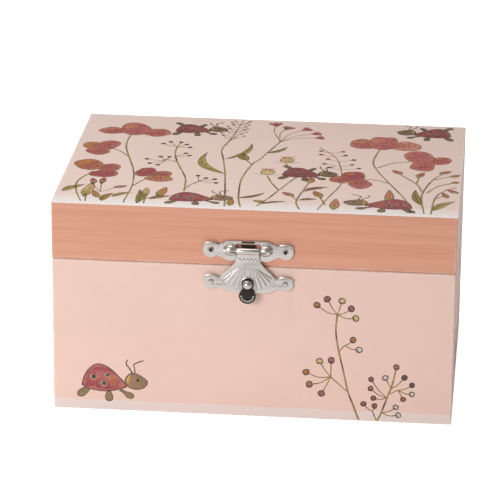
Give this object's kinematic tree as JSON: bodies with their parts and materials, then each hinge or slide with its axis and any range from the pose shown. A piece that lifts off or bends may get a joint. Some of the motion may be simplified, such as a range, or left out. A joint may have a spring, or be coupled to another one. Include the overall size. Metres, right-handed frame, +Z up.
{
  "type": "ballerina jewellery box",
  "caption": "Musical jewellery box with a mirror lid, a pressed-metal front catch, lined trays and a ballerina who rises and turns as the lid opens.",
  "frame": {"origin": "middle of the underside of the case, where it stands", "axes": "+X to the right and -Y to the front as the catch faces the viewer, +Z up"},
  "size_m": [0.18, 0.1528, 0.0995],
  "materials": {
    "printed_paper": "fibreboard wrapped in matte printed paper, pale pink",
    "terracotta_paper": "fibreboard wrapped in matte printed paper, terracotta with fine wood grain",
    "flocked_lining": "flocked velvet, dusty rose",
    "nickel": "bright nickel plate on pressed steel",
    "mirror_glass": "silvered glass",
    "brass": "satin brass",
    "steel": "bright steel",
    "white_plastic": "moulded acetal",
    "doll_plastic": "painted moulded plastic",
    "tulle": "gathered tulle"
  },
  "bodies": {
    "case": {"front_panel": "printed_paper", "back_panel": "printed_paper", "left_panel": "printed_paper", "right_panel": "printed_paper", "base_panel": "printed_paper", "long_divider": "flocked_lining", "stage_left_divider": "flocked_lining", "stage_right_divider": "flocked_lining", "tray_divider": "flocked_lining", "stage_top": "flocked_lining", "ring_cushion": "flocked_lining", "tray_pad": "flocked_lining", "left_well_pad": "flocked_lining", "right_well_pad": "flocked_lining", "strike_plate": "nickel", "strike_stud": "nickel", "strike_nail_left": "nickel", "strike_nail_right": "nickel", "case_leaf_left": "nickel", "case_leaf_right": "nickel", "hinge_pin_left": "nickel", "hinge_pin_right": "nickel", "bedplate": "brass", "front_bridge": "brass", "governor_frame": "brass", "cylinder_bearing": "brass", "spring_barrel": "brass", "mainspring": "steel", "comb": "steel", "comb_screw_left": "steel", "comb_screw_right": "steel", "movement_screw_left": "steel", "movement_screw_right": "steel"},
    "lid": {"lid_top": "printed_paper", "lid_front_rail": "terracotta_paper", "lid_back_rail": "printed_paper", "lid_left_rail": "printed_paper", "lid_right_rail": "printed_paper", "mirror": "mirror_glass", "mirror_surround": "flocked_lining", "catch_plate": "nickel", "catch_pin": "nickel", "catch_nail_left": "nickel", "catch_nail_right": "nickel", "lid_leaf_left": "nickel", "lid_leaf_right": "nickel"},
    "hasp": {"hasp": "nickel"},
    "ballerina_stand": {"ballerina_spring": "steel"},
    "ballerina": {"ballerina_figure": "doll_plastic", "ballerina_tutu": "tulle"},
    "drive": {"great_wheel": "brass", "winding_arbor": "steel", "winding_key": "nickel"},
    "drum": {"tune_drum": "brass", "drum_shaft": "steel"},
    "spindle": {"turning_spindle": "white_plastic"},
    "governor_wheel": {"governor_wheel": "steel"},
    "governor_worm": {"governor_worm": "steel"},
    "stop_rod": {"stop_rod": "steel"}
  },
  "joints": [
    {"name": "lid_hinge", "type": "hinge", "parent": "case", "child": "lid", "pos_m": [0, 0.0654, 0.07235], "axis": [-1, 0, 0], "range_deg": [0, 100]},
    {"name": "hasp_swing", "type": "hinge", "parent": "lid", "child": "hasp", "pos_m": [-0.002, -0.0659, 0.0802], "axis": [-1, 0, 0], "range_deg": [0, 110]},
    {"name": "ballerina_rise", "type": "hinge", "parent": "case", "child": "ballerina_stand", "pos_m": [0, 0.03527, 0.057], "axis": [-1, 0, 0], "range_deg": [0, 69], "deforming": ["ballerina_spring"]},
    {"name": "ballerina_spin", "type": "hinge", "parent": "ballerina_stand", "child": "ballerina", "pos_m": [0, 0.03527, 0.057], "axis": [0, -0.9336, 0.3584], "continuous": true},
    {"name": "drive_spin", "type": "hinge", "parent": "case", "child": "drive", "pos_m": [0, 0.0427, 0.026], "axis": [0, 1, 0], "continuous": true},
    {"name": "drum_spin", "type": "hinge", "parent": "case", "child": "drum", "pos_m": [0.0105, 0.03527, 0.026], "axis": [1, 0, 0], "continuous": true},
    {"name": "spindle_spin", "type": "hinge", "parent": "case", "child": "spindle", "pos_m": [0, 0.03527, 0.05], "axis": [0, 0, 1], "continuous": true},
    {"name": "governor_wheel_spin", "type": "hinge", "parent": "case", "child": "governor_wheel", "pos_m": [-0.0154, 0.0392, 0.026], "axis": [0, 1, 0], "continuous": true},
    {"name": "governor_worm_spin", "type": "hinge", "parent": "case", "child": "governor_worm", "pos_m": [-0.023, 0.0392, 0.026], "axis": [0, 0, 1], "continuous": true},
    {"name": "stop_rod_lift", "type": "slide", "parent": "case", "child": "stop_rod", "axis": [0, 0, 1], "range_m": [0, 0.004]}
  ],
  "couplings": [
    {"joint": "ballerina_rise", "follows": "lid_hinge", "ratio": 0.69},
    {"joint": "stop_rod_lift", "follows": "lid_hinge", "m_per_rad": 0.00229},
    {"joint": "drum_spin", "follows": "drive_spin", "ratio": -1.8},
    {"joint": "spindle_spin", "follows": "drive_spin", "ratio": -1.8},
    {"joint": "ballerina_spin", "follows": "drive_spin", "ratio": -1.8},
    {"joint": "governor_wheel_spin", "follows": "drive_spin", "ratio": -6},
    {"joint": "governor_worm_spin", "follows": "drive_spin", "ratio": 108}
  ]
}
